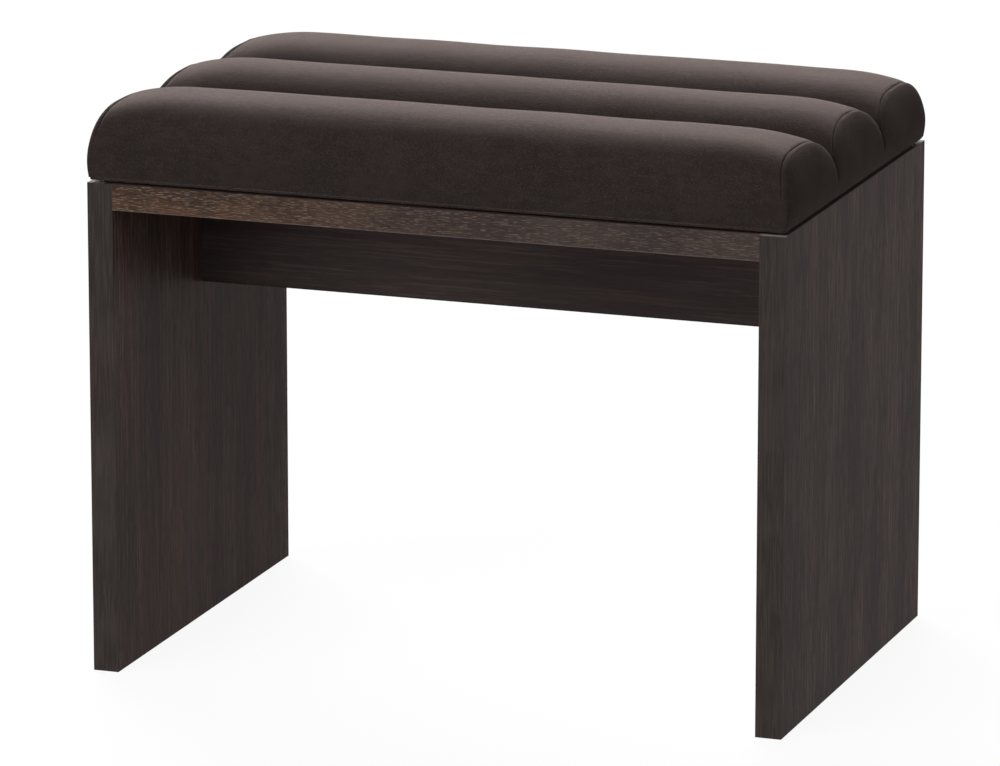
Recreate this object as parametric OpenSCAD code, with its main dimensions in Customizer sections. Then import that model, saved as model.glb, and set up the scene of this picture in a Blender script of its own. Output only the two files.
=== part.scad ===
// Pouf with two board sides, a board top, a stretcher rail and a seat of three upholstered rolls.
// Millimetres. X runs along the seat, Y from front to back and Z up. The origin is on the floor,
// under the middle of the pouf.

/* [Carcass] */
// Width over the two side panels
carcass_w = 600; // [480:10:900]
// Depth of the side panels, front to back
carcass_d = 390; // [330:10:450]
// Height of the side panels
panel_h = 416; // [330:2:480]
// Thickness of every carcass board
board_t = 22; // [19:1:25]
// Height of the stretcher rail under the top board
rail_h = 102; // [90:2:160]
// Distance from the front of the carcass to the front of the stretcher rail
rail_setback = 194; // [150:2:220]
// Thickness of the edge bands
band_t = 1; // [0.6:0.1:2]

/* [Cam fittings] */
// Diameter of a cam lock
cam_d = 15; // [14:0.5:16]
// Distance from a board's end to the axis of its cam lock
cam_inset = 34; // [30:1:40]
// How far a cam lock reaches past the axis of its bolt
cam_reach = 3.5; // [3:0.1:4]
// Distance from the front and rear edges of the top board to its cam bolts
bolt_inset = 64; // [48:1:80]
// Diameter of the bolt's stud in the side panel
stud_d = 5; // [4:0.5:6]
// Length of the bolt's stud in the side panel
stud_l = 11; // [9:0.5:12]
// Diameter of the bolt's shank in the board's end
shank_d = 7; // [6.6:0.1:7.4]
// Diameter of the bolt's neck behind its head
neck_d = 3.6; // [3:0.1:4.4]
// Diameter of the bolt's head inside the cam lock
bolt_head_d = 6; // [5.2:0.1:6.4]
// Length of the bolt's head
bolt_head_l = 3; // [2:0.5:4]

/* [Dowels] */
// Diameter of a wooden dowel
dowel_d = 8; // [6:1:10]
// Length of a wooden dowel
dowel_l = 30; // [25:1:40]
// How much of a dowel is inside the side panel
dowel_in_panel = 11; // [8:0.5:13]
// Distance from a cam bolt to the dowel beside it
dowel_pitch = 32; // [24:1:36]

/* [Seat base] */
// Thickness of the seat base board
seat_board_t = 16; // [12:1:19]
// Thickness of the folded hem that the seat stands on
hem_fold_t = 2; // [1.5:0.5:5]
// How far the folded hem is set in from the edge of the cover
hem_set_in = 9; // [6:1:14]
// Width of the hem that is turned under the seat
hem_w = 34; // [28:1:50]
// Length of a seat screw
screw_l = 40; // [38:1:42]
// Diameter of a seat screw's shank
screw_d = 4; // [3.5:0.5:5]
// Diameter of a seat screw's head
screw_head_d = 8; // [7:0.5:9]
// Height of a seat screw's countersunk head
screw_head_h = 3; // [2.5:0.5:3.5]
// Distance from the inner face of a side panel to the nearest seat screws
screw_inset = 110; // [80:5:160]
// Distance from the front and rear of the carcass to the seat screws
screw_setback = 65; // [60:1:90]

/* [Seat rolls] */
// Height of the roll crests above the lower edge of the cover
roll_h = 65; // [48:1:90]
// How much lower the crest of the rear roll lies than the others
rear_settle = 3.5; // [0:0.5:6]
// How far the rolls stand out past each side panel
end_bulge = 5; // [3:0.5:10]
// Length over which a roll's crest falls towards each end
end_fall_l = 70; // [60:5:140]
// How far the crest has fallen at the very end of a roll
end_drop = 15; // [4:1:18]
// How far the end seam is set in at the crest from the outer face of the side panel
seam_set_in = 11; // [4:1:16]
// How far the lower edge of the cover is set in from the carcass on every side
cover_set_in = 1.5; // [1:0.5:3]
// Height over which the cover is drawn in towards its lower edge
tuck_h = 24; // [12:1:30]

/* [Cover and filling] */
// Thickness of the velour cover with its backing
cover_t = 1.6; // [1:0.1:2.4]
// How much shorter the foam is than the inside of its cover at each end
foam_set_in = 4; // [3:0.5:6]
// Thickness of the tapes that hold the channels down
tape_t = 1.2; // [0.8:0.1:2]
// Height of the tapes between the rolls
tape_h = 12; // [8:1:16]
// Width of the foot of a tape on the seat base board
tape_foot_w = 12; // [10:1:16]

/* [Staples] */
// Width of a staple's crown
staple_w = 10; // [8:1:12]
// Thickness of the staple wire
staple_t = 0.7; // [0.5:0.1:1]
// How far the staples are driven into the seat base board
staple_bite = 8; // [5:0.5:9]
// Number of staples along the front and along the rear of the hem
long_side_staples = 7; // [4:1:10]
// Number of staples along each end of the hem
short_side_staples = 4; // [2:1:5]
// Number of staples in each channel tape
tape_staples = 6; // [3:1:8]

/* [Fits] */
// Clearance round a wooden or metal piece in its bore
bore_fit = 0.1; // [0.05:0.05:0.2]
// Extra depth of a blind bore past the end of the piece in it
bore_end_fit = 0.5; // [0.2:0.1:0.8]
// Clearance between a soft piece and its neighbours
soft_fit = 0.3; // [0.2:0.1:0.5]

/* [Hidden] */
$fn = 48;

board_colour = [0.20, 0.17, 0.16];
edging_colour = [0.19, 0.16, 0.15];
top_edging_colour = [0.30, 0.25, 0.21];
core_colour = [0.62, 0.49, 0.33];
dowel_colour = [0.78, 0.63, 0.42];
metal_colour = [0.66, 0.66, 0.67];
velour_colour = [0.17, 0.14, 0.13];
foam_colour = [0.90, 0.86, 0.70];
tape_colour = [0.12, 0.11, 0.11];

// Overrun of every cut past the face that it opens
cut = 1;

// Carcass places
half_w = carcass_w / 2;
half_d = carcass_d / 2;
inner_x = half_w - board_t;
top_board_z = panel_h - board_t;
rail_z = top_board_z - rail_h;
rail_y = rail_setback - half_d;
rail_mid_y = rail_y + board_t / 2;
rail_mid_z = rail_z + rail_h / 2;
bolt_ys = [-half_d + bolt_inset, half_d - bolt_inset];

// Seat places, from the top of the carcass upwards
seat_board_z = panel_h + hem_fold_t + cover_t;
seat_board_top = seat_board_z + seat_board_t;
cover_z = seat_board_z + soft_fit;
crest_z = cover_z + roll_h;
valley_z = seat_board_top + tape_t + soft_fit;
base_x = half_w - cover_set_in;
base_y = half_d - cover_set_in;
seat_board_x = base_x - cover_t - soft_fit;
seat_board_y = base_y - cover_t - soft_fit;
end_line_x = base_x + cover_t / 2;
end_x = half_w + end_bulge;
flat_x = half_w - end_fall_l;
seam_top_x = half_w - seam_set_in;
roll_count = 3;
roll_pitch = carcass_d / roll_count;
valley_half = tape_t / 2 + soft_fit;
screw_x = inner_x - screw_inset;
screw_y = half_d - screw_setback;

// Shape of the rolls: powers of the rounded outlines, steps of the arch and shares of the rings
outer_round = 3.5;
inner_round = 2.5;
foam_round = 2.6;
fall_power = 2.6;
seam_power = 1.2;
crest_dome_power = 2;
foot_dome_power = 10;
foam_dome_power = 2.4;
arch_steps = 16;
step_angle = 180 / arch_steps;
fall_shares = [0, 0.35, 0.6, 0.8, 0.92, 1];
dome_shares = [1, 0.96, 0.86, 0.68, 0.4, 0];

// Unit arch of a roll at an angle from its front foot over the crest to its rear foot:
// sideways share from -1 to 1, and height share from 0 to 1
function arch(angle, power) =
    let (c = abs(cos(angle)), s = abs(sin(angle)))
    let (reach = pow(pow(c, power) + pow(s, power), -1 / power))
    [-sign(cos(angle)) * reach * c, reach * s];

// True where the arch is the outside of the whole seat and not the side of a channel
function is_outer(roll, angle) = (roll == 0 && angle < 90) || (roll == roll_count - 1 && angle > 90);

function roll_y(roll) = (roll - (roll_count - 1) / 2) * roll_pitch;

// Height of a roll's crest on its level stretch
function crest_of(roll) = crest_z - (roll == roll_count - 1 ? rear_settle : 0);

// How far the roll has fallen and rounded at a place along it, from 0 to 1
function fall(x) = pow(min(1, max(0, (abs(x) - flat_x) / (end_x - flat_x))), fall_power);

// How far the cover stands free of the line that it is drawn in to, from 0 to 1
function free_share(z) = z >= cover_z + tuck_h ? 1 : 1 - pow(1 - (z - cover_z) / tuck_h, 2);

function drawn_in(place, line, z) = line + (place - line) * free_share(z);

// Cross-section of a roll, [y, z, height share], at a place along it and at a depth under its surface
function section(roll, angle, x, depth) =
    let (outer = is_outer(roll, angle))
    let (unit = arch(angle, outer ? outer_round : inner_round))
    let (foot = outer ? cover_z : valley_z)
    let (half = roll_pitch / 2 - depth - (outer ? 0 : valley_half))
    let (z = foot + (crest_of(roll) - depth - end_drop * fall(x) - foot) * unit[1])
    let (y = roll_y(roll) + half * unit[0])
    [outer ? sign(y) * drawn_in(abs(y), base_y - depth, z) : y, z, unit[1]];

// Place of the end seam before it is drawn in, from the height share of the arch: beside a channel
// it comes out to the end panel's full reach, less the cloth
function seam_x(share, outer) =
    let (foot = outer ? half_w : end_x - cover_t - soft_fit)
    foot + (seam_top_x - foot) * pow(share, seam_power);

// Point of a roll's surface: side is -1 or 1, share is 0 at the level stretch and 1 at the end seam
function roll_point(roll, angle, side, share, depth) =
    let (free = seam_x(section(roll, angle, flat_x, depth)[2], is_outer(roll, angle)))
    let (seam = section(roll, angle, free, depth))
    let (last_x = drawn_in(free, base_x, seam[1]) - soft_fit / 2)
    let (x = flat_x + (last_x - flat_x) * share)
    let (here = section(roll, angle, x, depth))
    [side * x, here[0], here[1]];

function arch_angles() = [for (i = [0:arch_steps]) i * step_angle];

// Rings along a roll from its left seam to its right one
function ring_places() = concat(
    [for (i = [len(fall_shares) - 1:-1:0]) [-1, fall_shares[i]]],
    [for (i = [0:len(fall_shares) - 1]) [1, fall_shares[i]]]);

function quad(a, b, c, d) = [[a, c, b], [a, d, c]];

// Faces of a closed skin over rings of n points each
function skin_faces(rings, n) = [
    for (i = [0:rings - 2]) for (j = [0:n - 1])
        each quad(i * n + j, (i + 1) * n + j, (i + 1) * n + (j + 1) % n, i * n + (j + 1) % n)];

// Cover of one roll: a sewn sheet over the arch, open below and at both ends
module roll_cover(roll) {
    angles = arch_angles();
    m = len(angles);
    n = 2 * m;
    places = ring_places();
    rings = len(places);
    points = [
        for (p = places) each concat(
            [for (a = angles) roll_point(roll, a, p[0], p[1], 0)],
            [for (i = [m - 1:-1:0]) roll_point(roll, angles[i], p[0], p[1], cover_t)])];
    last = (rings - 1) * n;
    ends = [
        for (j = [0:m - 2]) each concat(
            quad(j, j + 1, n - 2 - j, n - 1 - j),
            quad(last + j + 1, last + j, last + n - 1 - j, last + n - 2 - j))];
    polyhedron(points, concat(skin_faces(rings, n), ends));
}

// Outline of an end panel over one roll, [y, z, x before drawing in, height share, true where the panel
// runs on to the next roll]: below a channel it has a foot of two such points
function end_outline(roll, depth) =
    let (first = roll == 0)
    let (final = roll == roll_count - 1)
    let (sides = [roll_y(roll) - roll_pitch / 2, roll_y(roll) + roll_pitch / 2])
    let (feet = [for (y = sides) [for (z = [cover_z, valley_z]) [y, z, end_x - depth, 0, true]]])
    let (arc = [for (i = [first ? 0 : 1:final ? arch_steps : arch_steps - 1])
        let (unit = section(roll, i * step_angle, flat_x, depth)[2])
        let (free = seam_x(unit, is_outer(roll, i * step_angle)))
        let (s = section(roll, i * step_angle, free, depth))
        [s[0], s[1], free, unit, false]])
    concat(first ? [] : feet[0], arc, final ? [] : [feet[1][1], feet[1][0]]);

// Point of an end panel: share is 1 at its seam and 0 at the middle of the roll's lower edge
function end_point(roll, side, at, share, depth) =
    let (y = roll_y(roll) + (at[0] - roll_y(roll)) * share)
    let (z = cover_z + (at[1] - cover_z) * share)
    let (power = foot_dome_power + (crest_dome_power - foot_dome_power) * at[3])
    let (dome = at[2] + (end_x - depth - at[2]) * sqrt(1 - pow(share, power)))
    let (sewn = share == 1 && !at[4])
    let (x = sewn ? drawn_in(at[2], base_x, z) + soft_fit / 2 : drawn_in(dome, end_line_x - depth, z))
    [side * x, y, z];

// Running sums of a list, from zero
function sums(list) = [
    for (i = 0, sum = 0; i <= len(list); sum = sum + (i < len(list) ? list[i] : 0), i = i + 1) sum];

// Domed end panel of all the rolls, as one sewn sheet: outer and inner skin, closed along seam and lower
// edge. Each skin has the points of the rim first, and then every roll's inner rings and middle point.
module end_panel(side) {
    rolls = [0:roll_count - 1];
    rings = len(dome_shares) - 1;
    outer = [for (roll = rolls) end_outline(roll, 0)];
    inner = [for (roll = rolls) end_outline(roll, cover_t)];
    n = [for (outline = outer) len(outline)];
    rim = sums([for (roll = rolls) n[roll] - (roll > 0 ? 2 : 0)]);
    own = sums([for (roll = rolls) (rings - 1) * n[roll] + 1]);
    skin_size = rim[roll_count] + own[roll_count];
    function rim_number(roll, j) = roll == 0 ? j : j > 1 ? rim[roll] + j - 2 : rim[roll] - 1 - j;
    function ring_number(roll, i, j) =
        i == 0 ? rim_number(roll, j) : rim[roll_count] + own[roll] + (i - 1) * n[roll] + j;
    function skin(outlines, depth) = concat(
        [for (roll = rolls) for (j = [roll > 0 ? 2 : 0:n[roll] - 1])
            end_point(roll, side, outlines[roll][j], 1, depth)],
        [for (roll = rolls) each concat(
            [for (i = [1:rings - 1]) for (at = outlines[roll])
                end_point(roll, side, at, dome_shares[i], depth)],
            [end_point(roll, side, outlines[roll][0], 0, depth)])]);
    outer_faces = [for (roll = rolls) for (j = [0:n[roll] - 2]) each concat(
        [for (i = [0:rings - 2]) each quad(ring_number(roll, i, j), ring_number(roll, i + 1, j),
            ring_number(roll, i + 1, j + 1), ring_number(roll, i, j + 1))],
        [[ring_number(roll, rings - 1, j), ring_number(roll, rings - 1, j + 1),
            ring_number(roll, rings, 0)]])];
    inner_faces = [for (f = outer_faces) [f[0] + skin_size, f[2] + skin_size, f[1] + skin_size]];
    seam_line = [for (roll = rolls)
        for (j = [roll > 0 ? 2 : 0:n[roll] - (roll < roll_count - 1 ? 2 : 1)]) rim_number(roll, j)];
    seam_faces = [for (i = [0:len(seam_line) - 2])
        each quad(seam_line[i], seam_line[i + 1], skin_size + seam_line[i + 1], skin_size + seam_line[i])];
    foot_line = [for (roll = rolls) each concat(
        [for (i = [0:rings]) ring_number(roll, i, 0)],
        [for (i = [rings - 1:-1:roll < roll_count - 1 ? 1 : 0]) ring_number(roll, i, n[roll] - 1)])];
    foot_faces = [for (i = [0:len(foot_line) - 2])
        each quad(foot_line[i], skin_size + foot_line[i], skin_size + foot_line[i + 1], foot_line[i + 1])];
    points = concat(skin(outer, 0), skin(inner, cover_t));
    faces = concat(outer_faces, inner_faces, seam_faces, foot_faces);
    polyhedron(points, side > 0 ? faces : [for (f = faces) [f[0], f[2], f[1]]]);
}

// Point of a foam roll, which stands on the seat base board, inside its cover
function foam_point(roll, angle, side, share, dome) =
    let (depth = cover_t + soft_fit)
    let (unit = arch(angle, is_outer(roll, angle) ? foam_round : inner_round))
    let (half = roll_pitch / 2 - depth - (is_outer(roll, angle) ? cover_set_in : valley_half))
    let (last_x = seam_x(unit[1], true) - foam_set_in)
    let (seam_part = flat_x + (last_x - flat_x) * share)
    let (x = seam_part + (end_x - depth - foam_set_in - last_x) * sqrt(1 - pow(dome, foam_dome_power)))
    let (top = crest_of(roll) - depth - end_drop * fall(seam_part))
    let (z = seat_board_top + (top - seat_board_top) * unit[1] * dome)
    [side * x, roll_y(roll) + half * unit[0] * dome, z];

module foam_roll(roll) {
    angles = arch_angles();
    n = len(angles);
    domes = [for (i = [len(dome_shares) - 2:-1:1]) dome_shares[i]];
    ring_list = concat(
        [for (d = domes) [-1, 1, d]],
        [for (p = ring_places()) [p[0], p[1], 1]],
        [for (i = [len(domes) - 1:-1:0]) [1, 1, domes[i]]]);
    rings = len(ring_list);
    points = concat(
        [for (r = ring_list) for (a = angles) foam_point(roll, a, r[0], r[1], r[2])],
        [foam_point(roll, 90, -1, 1, 0), foam_point(roll, 90, 1, 1, 0)]);
    left_pole = rings * n;
    right_pole = left_pole + 1;
    last = (rings - 1) * n;
    left_end = [for (j = [0:n - 1]) [(j + 1) % n, j, left_pole]];
    right_end = [for (j = [0:n - 1]) [last + j, last + (j + 1) % n, right_pole]];
    polyhedron(points, concat(skin_faces(rings, n), left_end, right_end));
}

// Solid of revolution along X, from a list of [length, diameter] steps, starting at the origin
module turned(steps) {
    ends = [for (i = 0, x = 0; i < len(steps); x = x + steps[i][0], i = i + 1) [x, x + steps[i][0]]];
    outline = concat([[0, 0]],
        [for (i = [0:len(steps) - 1]) each [[steps[i][1] / 2, ends[i][0]], [steps[i][1] / 2, ends[i][1]]]],
        [[0, ends[len(steps) - 1][1]]]);
    rotate([0, 90, 0]) rotate_extrude() polygon(outline);
}

// Cylinder along X, starting at the origin
module rod_x(d, l) {
    rotate([0, 90, 0]) cylinder(d = d, h = l);
}

// The fittings below are drawn at a board's end, whose face lies at x = 0 with the board towards -X
// and the side panel towards +X
module cam_bolt() {
    head_start = cam_inset + bolt_head_l / 2;
    neck_l = cam_d / 2;
    translate([-head_start, 0, 0])
        turned([[bolt_head_l, bolt_head_d], [neck_l, neck_d],
            [head_start - bolt_head_l - neck_l, shank_d], [stud_l, stud_d]]);
}

module cam_bolt_bore_in_panel() {
    translate([-cut, 0, 0]) rod_x(stud_d + 2 * bore_fit, cut + stud_l + bore_end_fit);
}

module cam_bolt_bore_in_board() {
    translate([-cam_inset, 0, 0]) rod_x(shank_d + 2 * bore_fit, cam_inset + cut);
}

// Cam lock, let into the face that lies below the bolt's axis
module cam_lock() {
    slot_w = cam_reach / 2;
    slot_l = cam_d * 2 / 3;
    lock_h = board_t / 2 + cam_reach - bore_end_fit;
    difference() {
        translate([-cam_inset, 0, -board_t / 2 + bore_end_fit])
            cylinder(d = cam_d - 2 * bore_fit, h = lock_h - bore_end_fit);
        translate([-cam_inset, 0, 0])
            rod_x(shank_d + 2 * bore_fit, cam_d);
        translate([-cam_inset - bolt_head_l / 2 - bore_end_fit, 0, 0])
            rod_x(shank_d + 2 * bore_fit, cam_d);
        for (turn = [0, 90])
            translate([-cam_inset, 0, -board_t / 2 + bore_end_fit])
                rotate([0, 0, turn])
                    cube([slot_l, slot_w, 2 * slot_w], center = true);
    }
}

module cam_lock_bore() {
    translate([-cam_inset, 0, -board_t / 2 - cut])
        cylinder(d = cam_d, h = cut + board_t / 2 + cam_reach);
}

module dowel() {
    translate([dowel_in_panel - dowel_l, 0, 0]) rod_x(dowel_d, dowel_l);
}

module dowel_bore() {
    translate([dowel_in_panel - dowel_l - bore_end_fit, 0, 0])
        rod_x(dowel_d + 2 * bore_fit, dowel_l + 2 * bore_end_fit);
}

// Both ends of the carcass: what is drawn for the right end is mirrored to the left one
module both_ends() {
    children();
    mirror([1, 0, 0]) children();
}

// Places of the cam bolts and dowels of the top board, at its right end
module top_board_bolts() {
    for (y = bolt_ys) translate([inner_x, y, top_board_z + board_t / 2]) children();
}

module top_board_dowel_places() {
    for (y = bolt_ys) translate([inner_x, y - sign(y) * dowel_pitch, top_board_z + board_t / 2]) children();
}

// Places of the cam bolt and dowels of the stretcher rail, at its right end: the lock opens to the rear
module stretcher_bolt() {
    translate([inner_x, rail_mid_y, rail_mid_z]) rotate([90, 0, 0]) children();
}

module stretcher_dowel_places() {
    for (dz = [-dowel_pitch, dowel_pitch]) translate([inner_x, rail_mid_y, rail_mid_z + dz]) children();
}

// Side panel of the right end: front, rear and top edges carry bands, and it stands on its lower edge
module side_panel() {
    difference() {
        translate([inner_x, -half_d + band_t, 0])
            cube([board_t, carcass_d - 2 * band_t, panel_h - band_t]);
        top_board_bolts() cam_bolt_bore_in_panel();
        top_board_dowel_places() dowel_bore();
        stretcher_bolt() cam_bolt_bore_in_panel();
        stretcher_dowel_places() dowel_bore();
    }
}

module side_panel_edging() {
    for (y = [-half_d, half_d - band_t]) translate([inner_x, y, 0]) cube([board_t, band_t, panel_h]);
    translate([inner_x, -half_d + band_t, panel_h - band_t])
        cube([board_t, carcass_d - 2 * band_t, band_t]);
}

module right_side_panel() {
    color(board_colour) side_panel();
}

module left_side_panel() {
    color(board_colour) mirror([1, 0, 0]) side_panel();
}

module right_panel_edging() {
    color(edging_colour) side_panel_edging();
}

module left_panel_edging() {
    color(edging_colour) mirror([1, 0, 0]) side_panel_edging();
}

module top_board() {
    color(board_colour) difference() {
        translate([-inner_x, -half_d + band_t, top_board_z])
            cube([2 * inner_x, carcass_d - 2 * band_t, board_t]);
        both_ends() {
            top_board_bolts() cam_bolt_bore_in_board();
            top_board_bolts() cam_lock_bore();
            top_board_dowel_places() dowel_bore();
        }
        seat_screw_places() screw_bore_in_top_board();
    }
}

module top_board_edging() {
    color(top_edging_colour)
        for (y = [-half_d, half_d - band_t])
            translate([-inner_x, y, top_board_z]) cube([2 * inner_x, band_t, board_t]);
}

module stretcher_rail() {
    color(board_colour) difference() {
        translate([-inner_x, rail_y, rail_z + band_t]) cube([2 * inner_x, board_t, rail_h - band_t]);
        both_ends() {
            stretcher_bolt() cam_bolt_bore_in_board();
            stretcher_bolt() cam_lock_bore();
            stretcher_dowel_places() dowel_bore();
        }
    }
}

module stretcher_edging() {
    color(edging_colour) translate([-inner_x, rail_y, rail_z]) cube([2 * inner_x, board_t, band_t]);
}

module top_board_cam_bolts() {
    color(metal_colour) both_ends() top_board_bolts() cam_bolt();
}

module top_board_cam_locks() {
    color(metal_colour) both_ends() top_board_bolts() cam_lock();
}

module top_board_dowels() {
    color(dowel_colour) both_ends() top_board_dowel_places() dowel();
}

module stretcher_cam_bolts() {
    color(metal_colour) both_ends() stretcher_bolt() cam_bolt();
}

module stretcher_cam_locks() {
    color(metal_colour) both_ends() stretcher_bolt() cam_lock();
}

module stretcher_dowels() {
    color(dowel_colour) both_ends() stretcher_dowel_places() dowel();
}

// Countersunk screws from below, through the top board into the seat base board
module seat_screw_places() {
    for (x = [-screw_x, screw_x], y = [-screw_y, screw_y]) translate([x, y, top_board_z]) children();
}

module seat_screw() {
    tip_l = screw_d;
    recess = screw_d / 4;
    difference() {
        rotate_extrude()
            polygon([[0, 0], [screw_head_d / 2, 0], [screw_d / 2, screw_head_h],
                [screw_d / 2, screw_l - tip_l], [0, screw_l]]);
        for (turn = [0, 90])
            rotate([0, 0, turn]) cube([screw_d, recess, 2 * recess], center = true);
    }
}

module screw_bore_in_top_board() {
    bore_r = screw_d / 2 + bore_fit;
    head_r = screw_head_d / 2 + bore_fit;
    translate([0, 0, -cut]) cylinder(r = bore_r, h = board_t + 2 * cut);
    cylinder(r1 = head_r, r2 = bore_r, h = screw_head_h);
}

module screw_bore_in_seat_board() {
    translate([0, 0, board_t]) cylinder(r = screw_d / 2 + bore_fit, h = screw_l + bore_end_fit - board_t);
}

module seat_screws() {
    color(metal_colour) seat_screw_places() seat_screw();
}

// Staples: the crown lies at z = 0 along X and the legs point up, through what they hold
module staple(leg_l, fit) {
    crown_w = staple_w + 2 * fit;
    wire = staple_t + 2 * fit;
    translate([-crown_w / 2, -wire / 2, -fit]) cube([crown_w, wire, wire]);
    for (x = [-staple_w / 2 - fit, staple_w / 2 - staple_t - fit])
        translate([x, -wire / 2, 0]) cube([wire, wire, leg_l + fit]);
}

hem_leg_l = hem_fold_t + cover_t + staple_bite;
hem_line_x = base_x - (hem_set_in + hem_w) / 2;
hem_line_y = base_y - (hem_set_in + hem_w) / 2;

module hem_staple_places() {
    long_pitch = 2 * hem_line_x / long_side_staples;
    short_pitch = 2 * hem_line_y / (short_side_staples + 1);
    for (i = [0:long_side_staples - 1], side = [-1, 1])
        translate([(i - (long_side_staples - 1) / 2) * long_pitch, side * hem_line_y, panel_h]) children();
    for (i = [0:short_side_staples - 1], side = [-1, 1])
        translate([side * hem_line_x, (i - (short_side_staples - 1) / 2) * short_pitch, panel_h])
            rotate([0, 0, 90]) children();
}

module hem_staples() {
    color(metal_colour) hem_staple_places() staple(hem_leg_l, 0);
}

module rectangle_ring(outer_x, outer_y, w, z, h) {
    difference() {
        translate([-outer_x, -outer_y, z]) cube([2 * outer_x, 2 * outer_y, h]);
        translate([-outer_x + w, -outer_y + w, z - cut])
            cube([2 * (outer_x - w), 2 * (outer_y - w), h + 2 * cut]);
    }
}

// Hem of the cover, turned under the base board and folded double where the seat stands on it
module seat_hem() {
    color(velour_colour) difference() {
        union() {
            rectangle_ring(base_x, base_y, hem_w, seat_board_z - cover_t, cover_t);
            rectangle_ring(base_x - hem_set_in, base_y - hem_set_in, hem_w - hem_set_in, panel_h, hem_fold_t);
        }
        hem_staple_places() staple(hem_leg_l, bore_fit);
    }
}

// Channel tapes: between two covers, with a foot under the foam of the roll behind
tape_x = seam_top_x - foam_set_in;
tape_ys = [for (i = [1:roll_count - 1]) (i - roll_count / 2) * roll_pitch];
tape_staple_z = seat_board_top + tape_t;

module tape_foot(fit, below) {
    translate([-tape_x - fit, -tape_t / 2 - fit, -below])
        cube([2 * (tape_x + fit), tape_foot_w + 2 * fit, below + tape_t + fit]);
}

module tape_web() {
    translate([-tape_x, -tape_t / 2, 0]) cube([2 * tape_x, tape_t, tape_h]);
}

module tape_staple_places() {
    pitch = 2 * tape_x / tape_staples;
    for (y = tape_ys, i = [0:tape_staples - 1])
        translate([(i - (tape_staples - 1) / 2) * pitch, y + (tape_t + tape_foot_w) / 2, tape_staple_z])
            mirror([0, 0, 1]) children();
}

module channel_tapes() {
    color(tape_colour) difference() {
        for (y = tape_ys) translate([0, y, seat_board_top]) {
            tape_foot(0, 0);
            tape_web();
        }
        tape_staple_places() staple(tape_t + staple_bite, bore_fit);
    }
}

module channel_staples() {
    color(metal_colour) tape_staple_places() staple(tape_t + staple_bite, 0);
}

module seat_base_board() {
    color(core_colour) difference() {
        translate([-seat_board_x, -seat_board_y, seat_board_z])
            cube([2 * seat_board_x, 2 * seat_board_y, seat_board_t]);
        seat_screw_places() screw_bore_in_seat_board();
        hem_staple_places() staple(hem_leg_l, bore_fit);
        tape_staple_places() staple(tape_t + staple_bite, bore_fit);
    }
}

// Foam of one roll, cut out below for the foot of the tape in front of it
module fitted_foam_roll(roll) {
    color(foam_colour) difference() {
        foam_roll(roll);
        for (y = tape_ys) translate([0, y, seat_board_top]) tape_foot(soft_fit, cut);
    }
}

module front_foam_roll() {
    fitted_foam_roll(0);
}

module middle_foam_roll() {
    fitted_foam_roll(1);
}

module rear_foam_roll() {
    fitted_foam_roll(2);
}

module front_roll_cover() {
    color(velour_colour) roll_cover(0);
}

module middle_roll_cover() {
    color(velour_colour) roll_cover(1);
}

module rear_roll_cover() {
    color(velour_colour) roll_cover(2);
}

module left_end_panel() {
    color(velour_colour) end_panel(-1);
}

module right_end_panel() {
    color(velour_colour) end_panel(1);
}

left_side_panel();
right_side_panel();
left_panel_edging();
right_panel_edging();
top_board();
top_board_edging();
stretcher_rail();
stretcher_edging();
top_board_cam_bolts();
top_board_cam_locks();
top_board_dowels();
stretcher_cam_bolts();
stretcher_cam_locks();
stretcher_dowels();
seat_base_board();
seat_screws();
front_foam_roll();
middle_foam_roll();
rear_foam_roll();
front_roll_cover();
middle_roll_cover();
rear_roll_cover();
left_end_panel();
right_end_panel();
seat_hem();
hem_staples();
channel_tapes();
channel_staples();
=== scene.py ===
"""Low pouf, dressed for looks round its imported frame.

Three velour rolls are sewn side by side on a dark board carcass.
"""
import math

import bpy
import numpy as np
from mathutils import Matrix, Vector
from mathutils.kdtree import KDTree


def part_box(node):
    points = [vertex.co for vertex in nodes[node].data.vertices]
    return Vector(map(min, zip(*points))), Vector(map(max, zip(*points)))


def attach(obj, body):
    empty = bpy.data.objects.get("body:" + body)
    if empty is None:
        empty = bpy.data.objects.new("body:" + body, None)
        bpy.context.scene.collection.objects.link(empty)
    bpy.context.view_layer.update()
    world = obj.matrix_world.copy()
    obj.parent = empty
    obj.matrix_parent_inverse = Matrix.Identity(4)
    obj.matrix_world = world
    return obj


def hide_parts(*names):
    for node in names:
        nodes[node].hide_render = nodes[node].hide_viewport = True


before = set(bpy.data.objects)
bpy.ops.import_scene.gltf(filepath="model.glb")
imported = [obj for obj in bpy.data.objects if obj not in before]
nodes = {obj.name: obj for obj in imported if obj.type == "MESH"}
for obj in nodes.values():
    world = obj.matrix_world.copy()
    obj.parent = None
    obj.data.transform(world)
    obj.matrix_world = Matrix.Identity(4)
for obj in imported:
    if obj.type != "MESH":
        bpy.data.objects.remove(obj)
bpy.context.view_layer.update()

MM = 0.001

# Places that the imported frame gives, in metres
HALF_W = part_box("right_side_panel")[1].x
HALF_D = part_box("right_panel_edging")[1].y
HEM_LOW, HEM_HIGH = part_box("seat_hem")
TAPE_LOW, TAPE_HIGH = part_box("channel_tapes")
COVER_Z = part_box("front_roll_cover")[0].z
CREST_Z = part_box("front_roll_cover")[1].z
SEAT_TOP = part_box("seat_base_board")[1].z
BAND_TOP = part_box("right_panel_edging")[1].z
STRIP_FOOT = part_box("top_board_edging")[0].z
BASE_X = HEM_HIGH.x
BASE_Y = HEM_HIGH.y

# Cover, filling and tapes of the seat
COVER_T = 1.6 * MM
TAPE_T = 1.2 * MM
TAPE_FOOT_W = 12 * MM
SOFT_FIT = 0.3 * MM
FOAM_SET_IN = 4 * MM
HEM_SET_IN = 9 * MM
HEM_W = 34 * MM
HEM_CORNER = 2 * MM

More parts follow.
